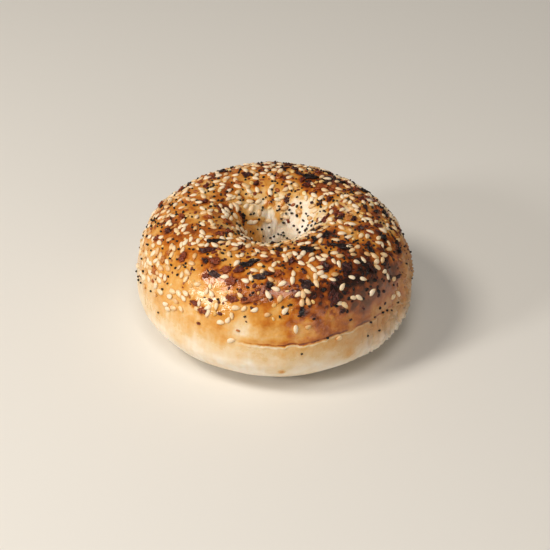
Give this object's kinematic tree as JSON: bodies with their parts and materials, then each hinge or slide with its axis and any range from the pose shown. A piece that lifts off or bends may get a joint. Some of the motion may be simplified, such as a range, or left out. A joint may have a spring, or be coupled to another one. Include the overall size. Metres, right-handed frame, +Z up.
{
  "type": "everything bagel",
  "caption": "Round baked bagel with a central hole, a glossy browned top covered in sesame, poppy seeds and toasted onion, and a pale base.",
  "frame": {"origin": "middle of the flat underside, on the axis of the hole, where the bagel rests", "axes": "+Z up through the hole; the side with the torn skin line faces -Y, towards the picture's viewer, and +X is to that viewer's right"},
  "size_m": [0.1074, 0.1088, 0.0478],
  "materials": {
    "baked_crust": "baked dough crust, glossy golden brown on top and pale cream at the base and in the hole",
    "sesame_seed": "hulled sesame, satin ivory, lightly toasted",
    "poppy_seed": "poppy seed, matt blue-black",
    "onion_chip": "dried onion, toasted from amber to near black",
    "garlic_grain": "dried garlic grains, toasted golden"
  },
  "bodies": {
    "root": {"bagel": "baked_crust"}
  },
  "joints": []
}
